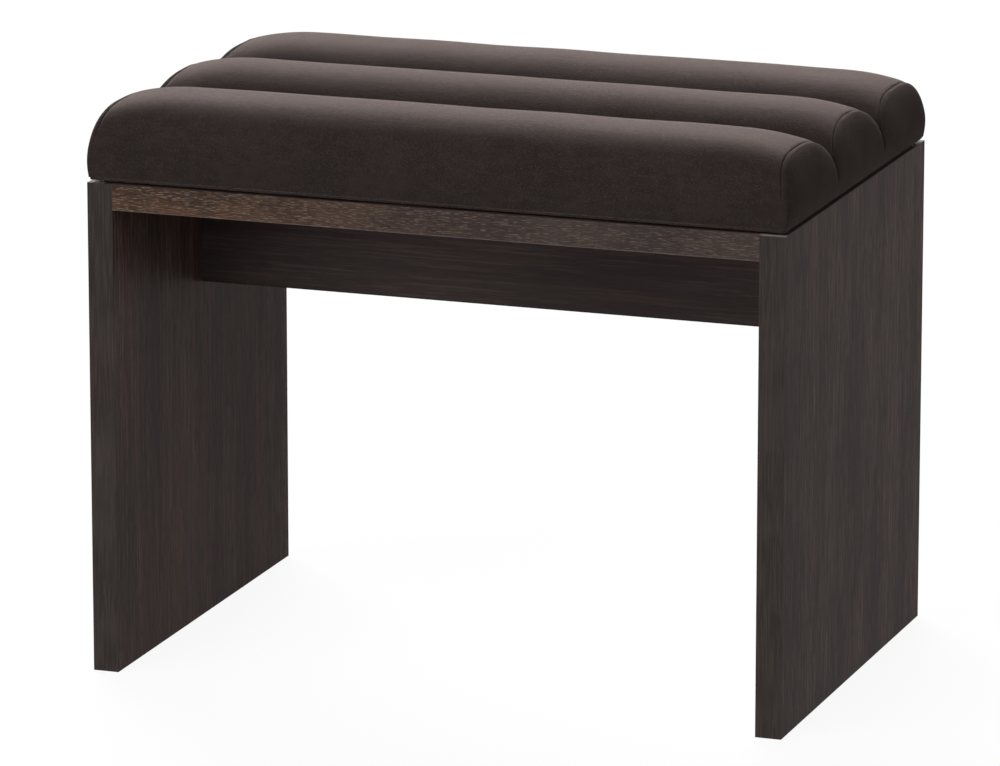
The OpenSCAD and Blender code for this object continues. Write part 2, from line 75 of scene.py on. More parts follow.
# Form of the rolls and of the end panels
ROLLS = ("front", "middle", "rear")
ROLL_PITCH = 2 * HALF_D / len(ROLLS)
VALLEY_HALF = TAPE_T / 2 + SOFT_FIT
VALLEY_Z = SEAT_TOP + TAPE_T + SOFT_FIT
END_X = HALF_W + 5 * MM
END_LINE_X = BASE_X + COVER_T / 2
FLAT_X = HALF_W - 70 * MM
SEAM_TOP_X = HALF_W - 11 * MM
END_DROP = 15 * MM
REAR_SETTLE = 3.5 * MM
TUCK_H = 24 * MM
OUTER_ROUND = 3.5
INNER_ROUND = 2.5
FOAM_ROUND = 2.6
FALL_POWER = 2.6
SEAM_POWER = 1.2
CREST_DOME_POWER = 2
FOOT_DOME_POWER = 10
FOAM_DOME_POWER = 2.4

# End seams: the gap between the cloths, and how many times its width is added at the crest. The pull of the
# stitches falls from the crest to a small share below it, and each part of it has a depth and a reach.
SEAM_GAP = 0.1 * MM
SEAM_OPENING = 5
LEAST_PULL = 0.05
PULL_POWER = 4
STITCH_PULL = 0.55 * MM
STITCH_REACH = 0.9 * MM
CLOTH_PULL = 0.25 * MM
CLOTH_REACH = 5 * MM
PUCKER_WAVE = 11 * MM
PUCKER_H = 0.12 * MM
PUCKER_REACH = 8 * MM

# Soft unevenness of the whole cover
SAG_WAVE = 90 * MM
SAG_H = 0.15 * MM
WAVES = 14

# Mesh of the cover: even steps, finer ones beside every seam, and the angles that give the even steps
STEP = 5.2 * MM
BESIDE_SEAM = np.array([0, 0.7, 1.5, 2.6, 4.2, 6.6, 10]) * MM
FINE_ANGLES = 1801

# Mesh of the foam, hem and tapes: how round the foam's ends are, and how many points or steps the rest has
FOAM_DOMES = np.array([0.98, 0.9, 0.75, 0.5, 0.2])
FOAM_FOOT_PLACES = 12
HEM_STEP = 3 * STEP
HEM_CORNER_STEPS = 8
FOLD_CORNER_STEPS = 3
TAPE_PLACES = 97

# Filling of the cover: how far it starts inside its form, and how much of its swelling is kept at most
START_IN = 2.2 * MM
SLACK_REACH = 14 * MM
CLOTH_FRAMES = 20
SWELL_SHARE = 0.3
SWELL_CAP = 1.2 * MM
FOAM_EASE = 1 * MM

chance = np.random.RandomState(11)


def roll_y(roll):
    """Place of a roll's middle in the depth."""
    return (roll - (len(ROLLS) - 1) / 2) * ROLL_PITCH


def crest_of(roll):
    """Height of a roll's crest: the rear one has settled a little."""
    return CREST_Z - (REAR_SETTLE if roll == len(ROLLS) - 1 else 0)


def is_outer(roll, angle):
    """True where the arch is the outside of the whole seat and not the side of a channel."""
    front = (roll == 0) & (angle < math.pi / 2)
    rear = (roll == len(ROLLS) - 1) & (angle > math.pi / 2)
    return front | rear


def arch(angle, power):
    """Rounded outline of a roll from its front foot to its rear one.

    Sideways it goes from -1 to 1, and in height from 0 to 1.
    """
    c = np.abs(np.cos(angle))
    s = np.abs(np.sin(angle))
    reach = (c**power + s**power) ** (-1 / power)
    return -np.sign(np.cos(angle)) * reach * c, reach * s


def fall(x):
    """How far a roll has fallen at a place along it, from 0 to 1."""
    return np.clip((np.abs(x) - FLAT_X) / (END_X - FLAT_X), 0, 1) ** FALL_POWER


def drawn_in(place, line, z):
    """A place of the cover, drawn in to the line of the hem near the lower edge."""
    tuck = np.clip(1 - (z - COVER_Z) / TUCK_H, 0, 1)
    return line + (place - line) * (1 - tuck**2)


def section(roll, angle, x):
    """Cross-section of a roll at a place along it: sideways, height, and share of its full height."""
    outer = is_outer(roll, angle)
    side, up = arch(angle, np.where(outer, OUTER_ROUND, INNER_ROUND))
    foot = np.where(outer, COVER_Z, VALLEY_Z)
    half = ROLL_PITCH / 2 - np.where(outer, 0, VALLEY_HALF)
    z = foot + (crest_of(roll) - END_DROP * fall(x) - foot) * up
    y = roll_y(roll) + half * side
    return np.where(outer, np.sign(y) * drawn_in(np.abs(y), BASE_Y, z), y), z, up


def seam_x(share, outer):
    """Place of the end seam before it is drawn in: it comes out to the full reach beside a channel."""
    foot = np.where(outer, HALF_W, END_X - COVER_T - SOFT_FIT)
    return foot + (SEAM_TOP_X - foot) * share**SEAM_POWER


def even_angles(roll):
    """Angles of the arch that step evenly over the roll."""
    fine = np.linspace(0, math.pi, FINE_ANGLES)
    y, z, _ = section(roll, fine, 0.0)
    run = np.concatenate([[0], np.cumsum(np.hypot(np.diff(y), np.diff(z)))])
    return np.interp(np.linspace(0, run[-1], round(run[-1] / STEP) + 1), run, fine)


def even_places():
    """Places along a roll from seam to seam, finer beside the seams."""
    inside = SEAM_TOP_X - BESIDE_SEAM[-1]
    level = np.linspace(-inside, inside, round(2 * inside / STEP) + 1)
    right = SEAM_TOP_X - BESIDE_SEAM[:-1][::-1]
    return np.concatenate([-right[::-1], level, right])


def even_shares(reach):
    """Shares of an end panel from its seam, 1, to the middle of its lower edge, 0."""
    beside = 1 - BESIDE_SEAM / reach
    return np.concatenate([beside, np.linspace(beside[-1], 0, round(beside[-1] * reach / STEP) + 1)[1:]])


def roll_skin(roll, places, angles):
    """Points of a roll's cover, one row for each place along it."""
    place, angle = np.meshgrid(places, angles, indexing="ij")
    up = section(roll, angle, FLAT_X)[2]
    free = seam_x(up, is_outer(roll, angle))
    last_x = drawn_in(free, BASE_X, section(roll, angle, free)[1])
    share = np.clip((np.abs(place) - FLAT_X) / (SEAM_TOP_X - FLAT_X), 0, 1)
    x = np.sign(place) * np.where(share > 0, FLAT_X + (last_x - FLAT_X) * share, np.abs(place))
    y, z, _ = section(roll, angle, x)
    return np.stack([x, y, z], -1)


def end_skin(roll, side, angles, shares):
    """Points of an end panel over one roll, one row for each share, with a foot beside each channel."""
    up = section(roll, angles, FLAT_X)[2]
    free = seam_x(up, is_outer(roll, angles))
    y, z, _ = section(roll, angles, free)
    rise = foot_heights()
    front = 0 if is_outer(roll, 0.0) else len(rise)
    rear = 0 if is_outer(roll, math.pi) else len(rise)
    beside = roll_y(roll) + np.array([-0.5, 0.5]) * ROLL_PITCH
    y = np.concatenate([np.full(front, beside[0]), y, np.full(rear, beside[1])])
    z = np.concatenate([rise[:front], z, rise[::-1][:rear]])
    free = np.concatenate([np.full(front, END_X), free, np.full(rear, END_X)])
    up = np.concatenate([np.zeros(front), up, np.zeros(rear)])
    power = FOOT_DOME_POWER + (CREST_DOME_POWER - FOOT_DOME_POWER) * up
    share = shares[:, None]
    out_y = roll_y(roll) + (y - roll_y(roll)) * share
    out_z = COVER_Z + (z - COVER_Z) * share
    dome = free + (END_X - free) * np.sqrt(1 - share**power)
    out_x = side * drawn_in(dome, END_LINE_X, out_z)
    return np.stack([out_x, out_y, out_z], -1)


def foot_heights():
    """Heights of the end panel's points below a channel."""
    return np.linspace(COVER_Z, VALLEY_Z, max(2, round((VALLEY_Z - COVER_Z) / STEP)) + 1)[:-1]


class Sheet:
    """Points and faces of a sewn sheet while it is put together."""

    def __init__(self):
        self.points = np.zeros((0, 3))
        self.faces = []

    def add(self, points):
        """Adds a grid of points and gives their numbers."""
        first = len(self.points)
        self.points = np.concatenate([self.points, points.reshape(-1, 3)])
        return np.arange(first, len(self.points)).reshape(points.shape[:-1])

    def span(self, numbers, flip=False):
        """Faces over a grid of point numbers, turned over on the left side."""
        a, b = numbers[:-1, :-1], numbers[1:, :-1]
        c, d = numbers[1:, 1:], numbers[:-1, 1:]
        quads = np.stack([a, d, c, b] if flip else [a, b, c, d], -1).reshape(-1, 4)
        start = len(self.faces)
        for quad in quads.tolist():
            corners = list(dict.fromkeys(quad))
            if len(corners) > 2:
                self.faces.append(corners)
        return range(start, len(self.faces))


def new_mesh(name, points, faces):
    """A smooth-shaded object at the origin, with its place in its mesh."""
    mesh = bpy.data.meshes.new(name)
    mesh.from_pydata(points.tolist(), [], faces)
    mesh.validate()
    mesh.shade_smooth()
    piece = bpy.data.objects.new(name, mesh)
    bpy.context.scene.collection.objects.link(piece)
    return piece


def normals_of(points, faces):
    """Direction outwards at each point of a sheet."""
    mesh = bpy.data.meshes.new("normals")
    mesh.from_pydata(points.tolist(), [], faces)
    found = np.zeros(len(points) * 3, np.float32)
    mesh.vertex_normals.foreach_get("vector", found)
    bpy.data.meshes.remove(mesh)
    return found.reshape(-1, 3)


def distance_to(points, line):
    """How far each point lies from the nearest point of a line of points."""
    tree = KDTree(len(line))
    for number, point in enumerate(line):
        tree.insert(point, number)
    tree.balance()
    return np.array([tree.find(point)[2] for point in points])


def filled(points, faces, sewn):
    """The skin after its filling has swelled it: a cloth held at its sewn points, kept in part."""
    slack = START_IN * (1 - np.exp(-((distance_to(points, points[sewn]) / SLACK_REACH) ** 2)))
    start = points - normals_of(points, faces) * slack[:, None]
    skin = new_mesh("filling", start, faces)
    held = skin.vertex_groups.new(name="sewn")
    held.add(np.flatnonzero(sewn).tolist(), 1.0, "REPLACE")
    cloth = skin.modifiers.new("cloth", "CLOTH")
    settings = cloth.settings
    settings.quality = 5
    settings.mass = 0.02
    settings.tension_stiffness = 15
    settings.compression_stiffness = 15
    settings.shear_stiffness = 8
    settings.bending_stiffness = 1.5
    settings.use_pressure = True
    settings.uniform_pressure_force = 4
    settings.effector_weights.gravity = 0
    settings.vertex_group_mass = held.name
    cloth.collision_settings.use_collision = False
    cloth.point_cache.frame_start = 1
    cloth.point_cache.frame_end = CLOTH_FRAMES
    for number in range(1, CLOTH_FRAMES + 1):
        bpy.context.scene.frame_set(number)
        shape = skin.evaluated_get(bpy.context.evaluated_depsgraph_get()).data
    swelled = np.zeros(len(start) * 3, np.float32)
    shape.vertices.foreach_get("co", swelled)
    travel = (swelled.reshape(-1, 3) - points) * SWELL_SHARE
    length = np.linalg.norm(travel, axis=1, keepdims=True)
    bpy.data.objects.remove(skin)
    bpy.context.scene.frame_set(1)
    return points + travel * np.minimum(1, SWELL_CAP / np.maximum(length, 1e-9))


def unevenness(points, wave, height):
    """Soft hand-made unevenness: a sum of slow waves in random directions."""
    total = np.zeros(len(points))
    for _ in range(WAVES):
        direction = chance.normal(size=3)
        direction /= np.linalg.norm(direction)
        length = wave * chance.uniform(0.6, 1.7)
        total += np.sin(2 * math.pi * points @ direction / length + chance.uniform(0, 2 * math.pi))
    return height * total / math.sqrt(WAVES / 2)


def crest_share(points):
    """How near the points are to the crest of the end seam: 1 there, and soon 0 below it."""
    return np.clip((points[:, 2] - COVER_Z) / (CREST_Z - END_DROP - COVER_Z), 0, 1) ** PULL_POWER


def seam_relief(points, to_seam):
    """Height of the cover beside a sewn seam: pulled in along the stitches, most near the crest."""
    pull = LEAST_PULL + (1 - LEAST_PULL) * crest_share(points)
    stitches = STITCH_PULL * np.exp(-((to_seam / STITCH_REACH) ** 2))
    cloth = CLOTH_PULL * np.exp(-to_seam / CLOTH_REACH)
    puckers = unevenness(points, PUCKER_WAVE, PUCKER_H) * np.exp(-to_seam / PUCKER_REACH)
    return pull * (puckers - stitches - cloth)


def end_sheet(sheet, side, seams, spread):
    """One end panel on the sheet, over all rolls: its point numbers, its faces and its sewn points."""
    rise = foot_heights()
    foot_x = side * drawn_in(END_X, END_LINE_X, rise)
    feet = []
    for channel in range(1, len(ROLLS)):
        y = (channel - len(ROLLS) / 2) * ROLL_PITCH
        feet.append(sheet.add(np.stack([foot_x, np.full(len(rise), y), rise], -1)))
    grids = []
    faces = []
    for roll, seam in enumerate(seams):
        points = end_skin(roll, side, spread[roll], even_shares(CREST_Z - COVER_Z))
        before = feet[roll - 1] if roll > 0 else feet[0][:0]
        after = feet[roll][::-1] if roll < len(feet) else feet[0][:0]
        edge = np.concatenate([before, seam, after])
        inside = sheet.add(points[1:-1])
        pole = sheet.add(points[-1, :1])
        grid = np.vstack([edge, inside, np.full(len(edge), pole[0])])
        faces += sheet.span(grid, flip=side < 0)
        grids.append(grid)
    for foot, seam, beyond in zip(feet, seams, seams[1:]):
        start = len(sheet.faces)
        sheet.faces.append([foot[-1], seam[-1], beyond[0]] if side < 0 else [foot[-1], beyond[0], seam[-1]])
        faces.append(start)
    sewn = [grid[0] for grid in grids] + [grid[:, end] for grid in grids for end in (0, -1)]
    return np.concatenate([grid.ravel() for grid in grids]), faces, sewn


def sewn_cover():
    """Rolls and end panels, filled together and then ready to be taken apart at the seams."""
    spread = [even_angles(roll) for roll in range(len(ROLLS))]
    sheet = Sheet()
    parts = {}
    sewn = []
    for roll, name in enumerate(ROLLS):
        grid = sheet.add(roll_skin(roll, even_places(), spread[roll]))
        parts[name] = (grid, sheet.span(grid))
        sewn += [grid[0], grid[-1], grid[:, 0], grid[:, -1]]
    seams = {-1: [parts[name][0][0] for name in ROLLS], 1: [parts[name][0][-1] for name in ROLLS]}
    for side in (-1, 1):
        numbers, faces, edge = end_sheet(sheet, side, seams[side], spread)
        parts[side] = (numbers, faces)
        sewn += edge
    held = np.zeros(len(sheet.points), bool)
    held[np.concatenate(sewn)] = True
    points = filled(sheet.points, sheet.faces, held)
    lines = points[np.concatenate(seams[-1] + seams[1])]
    relief = seam_relief(points, distance_to(points, lines)) + unevenness(points, SAG_WAVE, SAG_H)
    points = points + normals_of(points, sheet.faces) * relief[:, None]
    cell = ROLL_PITCH / 2 - SOFT_FIT
    for roll, name in enumerate(ROLLS):
        own = np.unique(parts[name][0])
        low = -math.inf if roll == 0 else roll_y(roll) - cell
        high = math.inf if roll == len(ROLLS) - 1 else roll_y(roll) + cell
        points[own, 1] = np.clip(points[own, 1], low, high)
    return points, sheet.faces, parts


def cut_out(points, faces, numbers, chosen, shift):
    """The points and faces of one panel, moved aside by the seam's gap, which opens towards the crest."""
    used = np.unique(numbers)
    place = {old: new for new, old in enumerate(used)}
    own = points[used].copy()
    own[:, 0] += shift * (1 + SEAM_OPENING * crest_share(own))
    return own, [[place[corner] for corner in faces[face]] for face in chosen]


def finished_cloth(piece, thickness):
    """Smooths a sewn panel and gives it the thickness of its cloth, inwards."""
    smooth = piece.modifiers.new("smooth", "SUBSURF")
    smooth.levels = 1
    smooth.render_levels = 1
    thick = piece.modifiers.new("cloth thickness", "SOLIDIFY")
    thick.thickness = thickness
    thick.offset = -1
    return piece


def dress_seat(velour, turned_velour):
    """Roll covers and end panels: the end panels have the nap turned the other way, and shine less."""
    points, faces, parts = sewn_cover()
    pieces = [(name, f"{name}_roll_velour", f"{name}_roll_cover", velour, 0.0) for name in ROLLS]
    pieces += [(-1, "left_end_velour", "left_end_panel", turned_velour, -SEAM_GAP)]
    pieces += [(1, "right_end_velour", "right_end_panel", turned_velour, SEAM_GAP)]
    for part, name, node, cloth, shift in pieces:
        own, own_faces = cut_out(points, faces, *parts[part], shift)
        piece = finished_cloth(new_mesh(name, own, own_faces), COVER_T)
        place_piece(piece, cloth, "velour", node)


def place_piece(piece, material, slot, *replaced):
    """Gives a new piece its material and its body, and hides the nodes that it stands for. The slot is not
    used.
    """
    piece.data.materials.append(material)
    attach(piece, "root")
    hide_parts(*replaced)


def foam_loop(roll, angles, x, dome):
    """One closed loop round a foam roll, raised below where the foot of the tape lies."""
    depth = COVER_T + SOFT_FIT + FOAM_EASE
    outer = is_outer(roll, angles)
    side, up = arch(angles, np.where(outer, FOAM_ROUND, INNER_ROUND))
    half = ROLL_PITCH / 2 - depth - np.where(outer, HALF_D - BASE_Y, VALLEY_HALF)
    top = crest_of(roll) - depth - END_DROP * fall(min(abs(x), SEAM_TOP_X - FOAM_SET_IN)) - SEAT_TOP
    y = half * side * dome
    z = top * up * dome
    under_y = np.linspace(y[-1], y[0], FOAM_FOOT_PLACES)[1:-1]
    raised = (under_y < TAPE_FOOT_W + SOFT_FIT - ROLL_PITCH / 2) & (roll > 0)
    under_z = np.where(raised, TAPE_T + SOFT_FIT, 0)
    y = roll_y(roll) + np.concatenate([y, under_y])
    z = SEAT_TOP + np.concatenate([z, under_z])
    return np.stack([np.full(len(y), x), y, z], -1)


def foam_roll(roll, foam):
    """Foam of one roll, cut to stand on the base board inside its cover."""
    angles = even_angles(roll)[::2]
    last = SEAM_TOP_X - FOAM_SET_IN
    bulge = END_X - COVER_T - SOFT_FIT - FOAM_SET_IN - FOAM_EASE - last
    level = np.linspace(-last, last, round(last / STEP) + 1)
    places = [(x, 1.0) for x in level]
    places += [(last + bulge * math.sqrt(1 - dome**FOAM_DOME_POWER), dome) for dome in FOAM_DOMES]
    places = [(-x, dome) for x, dome in reversed(places[len(level):])] + places
    sheet = Sheet()
    grid = sheet.add(np.stack([foam_loop(roll, angles, x, dome) for x, dome in places]))
    sheet.span(np.hstack([grid, grid[:, :1]]))
    sheet.faces += [grid[0].tolist(), grid[-1][::-1].tolist()]
    name = ROLLS[roll]
    piece = new_mesh(f"{name}_foam", sheet.points, sheet.faces)
    place_piece(piece, foam, "foam", f"{name}_foam_roll")


def ring_of_cloth(name, profile, path):
    """A strip with one outline, given sideways and in height, carried round a path of places and sides."""
    sheet = Sheet()
    loops = []
    for place, outward in path:
        loops.append([place + outward * s + Vector((0, 0, h)) for s, h in profile])
    grid = sheet.add(np.array(loops))
    grid = np.hstack([grid, grid[:, :1]])
    sheet.span(np.vstack([grid, grid[:1]]))
    return new_mesh(name, sheet.points, sheet.faces)


def rounded_box(low_s, high_s, low_h, high_h, edge):
    """Outline of a folded strip of cloth: a box with soft corners."""
    corners = ((high_s, low_h, -90), (high_s, high_h, 0), (low_s, high_h, 90), (low_s, low_h, 180))
    points = []
    for s, h, start in corners:
        centre_s = s - math.copysign(edge, s - (low_s + high_s) / 2)
        centre_h = h - math.copysign(edge, h - (low_h + high_h) / 2)
        for step in range(FOLD_CORNER_STEPS + 1):
            angle = math.radians(start + 90 * step / FOLD_CORNER_STEPS)
            points.append((centre_s + edge * math.cos(angle), centre_h + edge * math.sin(angle)))
    return points


def hem_path(out_x, out_y, height):
    """Points round the seat with rounded corners, anticlockwise, each with its outward direction."""
    path = []
    for turn, (side_x, side_y) in enumerate(((1, -1), (1, 1), (-1, 1), (-1, -1))):
        centre = Vector((side_x * (out_x - HEM_CORNER), side_y * (out_y - HEM_CORNER), height))
        for step in range(HEM_CORNER_STEPS + 1):
            angle = math.radians(turn * 90 - 90 + 90 * step / HEM_CORNER_STEPS)
            outward = Vector((math.cos(angle), math.sin(angle), 0))
            path.append((centre + outward * HEM_CORNER, outward))
        heading = math.radians(turn * 90)
        outward = Vector((math.cos(heading), math.sin(heading), 0))
        along = Vector((-math.sin(heading), math.cos(heading), 0))
        length = 2 * ((out_y if turn % 2 == 0 else out_x) - HEM_CORNER)
        start = path[-1][0]
        for step in range(1, round(length / HEM_STEP)):
            path.append((start + along * HEM_STEP * step, outward))
    return path


def seat_hem(velour):
    """Hem of the cover under the base board: a flat turn of cloth with a thicker fold under it."""
    flat = rounded_box(-HEM_W, 0, 0, COVER_T, COVER_T / 3)
    flat_path = hem_path(BASE_X, BASE_Y, HEM_HIGH.z - COVER_T)
    fold_h = HEM_HIGH.z - COVER_T - HEM_LOW.z
    fold = rounded_box(HEM_SET_IN - HEM_W, 0, 0, fold_h, fold_h / 3)
    fold_path = hem_path(BASE_X - HEM_SET_IN, BASE_Y - HEM_SET_IN, HEM_LOW.z)
    for name, profile, path in (("hem_turn", flat, flat_path), ("hem_fold", fold, fold_path)):
        piece = ring_of_cloth(name, profile, path)
        place_piece(piece, velour, "velour", "seat_hem")


def channel_tapes(webbing):
    """Woven tapes that hold the covers down between the rolls: an upright web on a stapled foot."""
    height = TAPE_HIGH.z - TAPE_LOW.z
    web = TAPE_T / 2
    profile = [(-web, 0), (web, 0), (TAPE_FOOT_W - web, 0), (TAPE_FOOT_W - web, TAPE_T)]
    profile += [(web, TAPE_T), (web, height), (-web, height)]
    sheet = Sheet()
    for line in range(1, len(ROLLS)):
        y = (line - len(ROLLS) / 2) * ROLL_PITCH
        xs = np.linspace(TAPE_LOW.x, TAPE_HIGH.x, TAPE_PLACES)
        grid = sheet.add(np.array([[(x, y + s, TAPE_LOW.z + h) for s, h in profile] for x in xs]))
        sheet.span(np.hstack([grid, grid[:, :1]]))
        sheet.faces += [grid[0].tolist(), grid[-1][::-1].tolist()]
    piece = new_mesh("channel_webbing", sheet.points, sheet.faces)
    place_piece(piece, webbing, "woven_tape", "channel_tapes")


def tone(red, green, blue):
    """A colour given as it looks on a screen, from 0 to 255, as the shader takes it."""
    parts = [value / 255 for value in (red, green, blue)]
    return (*[p / 12.92 if p <= 0.04045 else ((p + 0.055) / 1.055) ** 2.4 for p in parts], 1.0)


class Shade:
    """A shader socket that takes part in sums, so that masks read as plain maths."""

    def __init__(self, tree, socket):
        self.tree = tree
        self.socket = socket

    def maths(self, operation, first, second):
        return self.tree.add("ShaderNodeMath", {"operation": operation}, {0: first, 1: second})

    def __add__(self, other):
        return self.maths("ADD", self, other)

    def __radd__(self, other):
        return self.maths("ADD", other, self)

    def __sub__(self, other):
        return self.maths("SUBTRACT", self, other)

    def __rsub__(self, other):
        return self.maths("SUBTRACT", other, self)

    def __mul__(self, other):
        return self.maths("MULTIPLY", self, other)

    def __rmul__(self, other):
        return self.maths("MULTIPLY", other, self)

    def __abs__(self):
        return self.maths("ABSOLUTE", self, 0.0)


class Nodes:
    """The nodes of one material or of the surroundings."""

    def __init__(self, owner):
        owner.use_nodes = True
        self.nodes = owner.node_tree.nodes
        self.links = owner.node_tree.links

    def add(self, kind, settings=None, sockets=None, out=0):
        """A node of this type, with its settings made first and then its sockets set or linked."""
        node = self.nodes.new(kind)
        for name, value in (settings or {}).items():
            setattr(node, name, value)
        for key, value in (sockets or {}).items():
            self.feed(node.inputs[key], value)
        return Shade(self, node.outputs[out])

    def feed(self, socket, value):
        if isinstance(value, Shade):
            self.links.new(value.socket, socket)
        else:
            socket.default_value = value

    def shown(self, white_kind, plain, output, share):
        """White for the camera and for mirror-like rays, and the plain surface or light for all others."""
        rays = ("Is Camera Ray", "Is Glossy Ray", "Is Transmission Ray")
        camera, glossy, through = [self.add("ShaderNodeLightPath", out=ray) for ray in rays]
        white = self.add(white_kind, None, {"Color": (1, 1, 1, 1), "Strength": 1.0})
        plain = Shade(self, self.nodes[plain].outputs[0])
        mask = (camera + glossy + through) * share
        mixed = self.add("ShaderNodeMixShader", None, {0: mask, 1: plain, 2: white})
        self.feed(self.nodes[output].inputs["Surface"], mixed)


class Finish(Nodes):
    """One material: constants on the shader's own sockets, and the rest added node by node."""

    def __init__(self, name, constants):
        self.material = bpy.data.materials.new(name)
        super().__init__(self.material)
        self.shader = self.nodes["Principled BSDF"]
        for socket, value in constants.items():
            self.shader.inputs[socket].default_value = value
        self.place = self.add("ShaderNodeTexCoord", out="Object")

    def stretched(self, scale):
        return self.add("ShaderNodeVectorMath", {"operation": "MULTIPLY"}, {0: self.place, 1: scale})

    def noise(self, place, scale, detail=2.0, rough=0.5):
        sockets = {"Vector": place, "Scale": scale, "Detail": detail, "Roughness": rough}
        return self.add("ShaderNodeTexNoise", None, sockets, "Fac")

    def cells(self, place, scale, feature="F1", out="Distance"):
        sockets = {"Vector": place, "Scale": scale}
        return self.add("ShaderNodeTexVoronoi", {"feature": feature}, sockets, out)

    def spread(self, place, scale):
        """A number from 0 to 1 of each cell's own."""
        return self.add("ShaderNodeSeparateColor", None, {0: self.cells(place, scale, out="Color")}, "Red")

    def yarns(self, direction, scale):
        """Even bands of yarn, counted across a direction."""
        sockets = {"Vector": self.place, "Scale": scale}
        return self.add("ShaderNodeTexWave", {"bands_direction": direction}, sockets, "Fac")

    def between(self, value, low, high):
        """A soft mask: 0 up to low, 1 from high on."""
        sockets = {"Value": value, "From Min": low, "From Max": high}
        return self.add("ShaderNodeMapRange", {"interpolation_type": "SMOOTHSTEP"}, sockets)

    def mix(self, mask, first, second):
        """A colour between two."""
        return self.add("ShaderNodeMix", {"data_type": "RGBA"}, {0: mask, 6: first, 7: second}, 2)

    def axis(self, name):
        return self.add("ShaderNodeSeparateXYZ", None, {0: self.place}, name)

    def facing(self, name):
        """How far the surface faces along an axis."""
        normal = self.add("ShaderNodeNewGeometry", out="True Normal")
        return abs(self.add("ShaderNodeSeparateXYZ", None, {0: normal}, name))

    def relief(self, height, distance, strength):
        sockets = {"Height": height, "Distance": distance, "Strength": strength}
        self.feed(self.shader.inputs["Normal"], self.add("ShaderNodeBump", None, sockets))

    def done(self, colour, roughness):
        self.feed(self.shader.inputs["Base Color"], colour)
        self.feed(self.shader.inputs["Roughness"], roughness)
        return self.material


def velour_finish(name, sheen):
    """Very dark brown short-pile velour: faint nap patches, pile speckle and a soft sheen."""
    finish = Finish(name, {
        "Specular IOR Level": 0.01,
        "Sheen Weight": sheen,
        "Sheen Roughness": 0.37,
        "Sheen Tint": tone(236, 213, 205),
    })
    nap = finish.noise(finish.place, 16, 3.0, 0.55)
    brushed = finish.noise(finish.stretched((1, 2.2, 2.2)), 70, 3.0, 0.6)
    pile = finish.noise(finish.place, 1300, 2.0, 0.6)
    tufts = finish.noise(finish.place, 420, 2.0, 0.6)
    lit = finish.between(nap * 0.5 + brushed * 0.5, 0.38, 0.62)
    ground = finish.mix(lit, tone(38, 32, 31), tone(45, 38, 37))
    speckled = finish.mix(finish.between(pile, 0.5, 0.72), ground, tone(64, 56, 53))
    finish.relief(pile * 1.5 + tufts * 0.7 + brushed * 0.5, 0.9 * MM, 0.55)
    return finish.done(speckled, 0.86 + (pile - 0.5) * 0.25)


def chipboard_colour(finish):
    """Raw chipboard: pale chips of several tones with dark gaps."""
    chip = finish.spread(finish.place, 420)
    gap = finish.between(finish.cells(finish.place, 420, "DISTANCE_TO_EDGE"), 0.0, 0.06)
    chipped = finish.mix(chip, tone(150, 118, 80), tone(196, 164, 120))
    return finish.mix(gap, tone(92, 68, 44), chipped)


def board_finish(name, grain, facing, bold, gloss, warmth):
    """Dark wenge decor with streaks and pores along the grain, and raw chipboard where a board is sawn.

    The grain runs along one axis, and the decor faces along another. The last three numbers say how bold
    its streaks are, how glossy it is, and how brown.
    """
    finish = Finish(name, {"Specular IOR Level": gloss})

    def along(share):
        return finish.stretched([share if axis == grain else 1.0 for axis in "XYZ"])

    short, long, middling = along(0.12), along(0.03), along(0.07)
    cloud = finish.noise(short, 24, 3.0, 0.6)
    lines = finish.noise(long, 430, 4.0, 0.7)
    hairs = finish.noise(middling, 950, 2.0, 0.6)
    pores = finish.between(finish.spread(middling, 900), 0.8, 0.9)
    red = finish.between(finish.noise(long, 95, 4.0, 0.65), 0.5, 0.64)
    patch = finish.between(cloud, 0.36, 0.62)
    plain = finish.mix(patch, tone(54, 47, 46), tone(66, 57, 56))
    brown = finish.mix(patch, tone(59, 45, 41), tone(78, 59, 51))
    ground = finish.mix(warmth, plain, brown)
    reddened = finish.mix(red * (0.1 + 0.7 * warmth), ground, tone(94, 67, 57))
    pale = finish.between(lines, 0.5, 0.62) * (0.5 + 0.5 * patch)
    lined = finish.mix(pale * bold, reddened, tone(105, 88, 83))
    haired = finish.mix(finish.between(hairs, 0.52, 0.64) * 0.6 * bold, lined, tone(38, 31, 30))
    decor = finish.mix(pores * 0.4 * bold, haired, tone(32, 26, 25))
    face = finish.between(finish.facing(facing), 0.5, 0.7)
    colour = finish.mix(face, chipboard_colour(finish), decor)
    finish.relief(lines * 0.5 - pores * 0.5 - hairs * 0.3, 0.35 * MM * bold, 0.8)
    return finish.done(colour, 0.82 - face * (0.36 - (lines - 0.5) * 0.3))


def dark_band_finish():
    """Edge band in the board's colour: plainer and satin, with a painted highlight along the right panel's
    top front edge.
    """
    finish = Finish("dark_edge_band", {"Specular IOR Level": 0.012})
    grain = finish.noise(finish.stretched((1, 1, 0.04)), 620, 3.0, 0.6)
    cloud = finish.noise(finish.place, 22, 2.0, 0.5)
    ground = finish.mix(finish.between(cloud, 0.4, 0.62), tone(51, 46, 44), tone(57, 51, 49))
    lined = finish.mix(finish.between(grain, 0.44, 0.62) * 0.5, ground, tone(71, 63, 59))
    # Painted highlight: a pale, ragged line along the top front edge of the right panel's band, where its
    # arris catches the light.
    ragged_edge_noise = finish.noise(finish.stretched((0.5, 1, 1)), 260, 2.0, 0.6)
    height = finish.axis("Z") + (ragged_edge_noise - 0.5) * 0.8 * MM
    top = finish.between(height, BAND_TOP - 0.9 * MM, BAND_TOP - 0.3 * MM)
    front = 1 - finish.between(finish.axis("Y"), 3 * MM - HALF_D, 6 * MM - HALF_D)
    painted_edge_highlight = top * front * finish.between(finish.axis("X"), 0.0, 0.1)
    colour = finish.mix(painted_edge_highlight * 0.6, lined, tone(142, 134, 128))
    finish.relief(grain, 0.08 * MM, 0.4)
    return finish.done(colour, 0.5 + (grain - 0.5) * 0.25)


